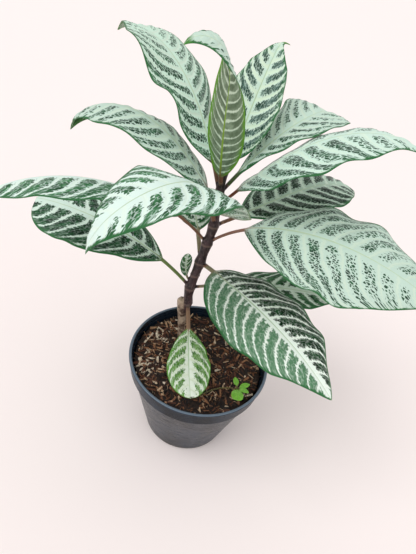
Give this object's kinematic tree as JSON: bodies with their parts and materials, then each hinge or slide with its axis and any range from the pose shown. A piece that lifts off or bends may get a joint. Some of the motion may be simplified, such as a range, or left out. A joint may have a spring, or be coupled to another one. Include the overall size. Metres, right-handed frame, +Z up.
{
  "type": "potted zebra plant",
  "caption": "Variegated zebra plant with striped leaves in opposite pairs on a woody stem, in a round tapered nursery pot of soil.",
  "frame": {"origin": "centre of the pot's base, on the surface that it stands on", "axes": "+Z up along the pot's axis, -Y towards the viewer of the picture, +X to the viewer's right"},
  "size_m": [0.3642, 0.2353, 0.4206],
  "materials": {
    "pot_plastic": "satin black moulded plastic",
    "potting_mix": "rough brown coir and bark mix",
    "stem_bark": "dark red-brown bark, pale and corky on the old trunk",
    "seedling_green": "smooth bright green seedling leaf",
    "leaf_silver": "satin leaf, silver green with dark dashes between pale veins",
    "leaf_white": "satin leaf, almost white with dark mottled bands",
    "leaf_dark": "glossy dark green leaf with white veins",
    "leaf_yellow": "satin yellow-green leaf with a whitish middle"
  },
  "bodies": {
    "root": {"pot": "pot_plastic", "soil": "potting_mix", "stem": "stem_bark", "seedling": "seedling_green", "leaf_top_left": "leaf_silver", "leaf_top_centre": "leaf_silver", "leaf_top_back": "leaf_silver", "leaf_upper_right": "leaf_silver", "leaf_tip_right": "leaf_silver", "leaf_shaded_right": "leaf_silver", "leaf_big_right": "leaf_silver", "leaf_dark_front": "leaf_dark", "leaf_dark_back": "leaf_dark", "leaf_front_left": "leaf_white", "leaf_far_left": "leaf_white", "leaf_dark_left": "leaf_dark", "leaf_back_left": "leaf_silver", "leaf_hidden_left": "leaf_dark", "leaf_bud": "leaf_dark", "leaf_low_front": "leaf_yellow"}
  },
  "joints": []
}
